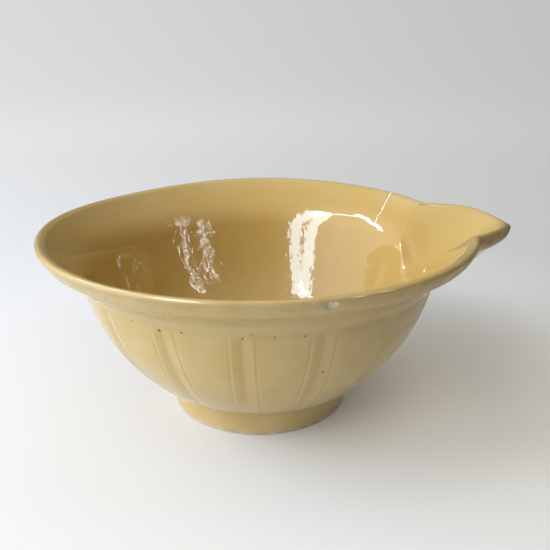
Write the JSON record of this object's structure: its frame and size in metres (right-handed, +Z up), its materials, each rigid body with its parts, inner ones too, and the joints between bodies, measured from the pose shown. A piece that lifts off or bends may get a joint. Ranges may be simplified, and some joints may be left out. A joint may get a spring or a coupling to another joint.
{
  "type": "mixing bowl",
  "caption": "Round glazed earthenware mixing bowl with a flared banded rim, a drawn-out pouring lip, a shallowly fluted belly and a low foot ring.",
  "frame": {"origin": "centre of the foot ring's circle on the plane that the bowl rests on", "axes": "+Z up along the bowl's axis, +X from that axis out along the middle of the pouring lip"},
  "size_m": [0.333, 0.3, 0.132],
  "materials": {
    "outer_glaze": "clear glossy glaze over buff yellow clay",
    "inner_glaze": "clear glossy glaze over buff yellow clay, pooled a little darker",
    "rim_glaze": "clear glossy glaze, thin and brown along the edges",
    "foot_glaze": "clear glossy glaze, wiped off the standing edge"
  },
  "bodies": {
    "root": {"foot_ring": "foot_glaze", "bowl_floor": "inner_glaze", "fluted_wall": "outer_glaze", "plain_collar": "outer_glaze", "rim_band": "rim_glaze", "pouring_lip": "rim_glaze"}
  },
  "joints": []
}
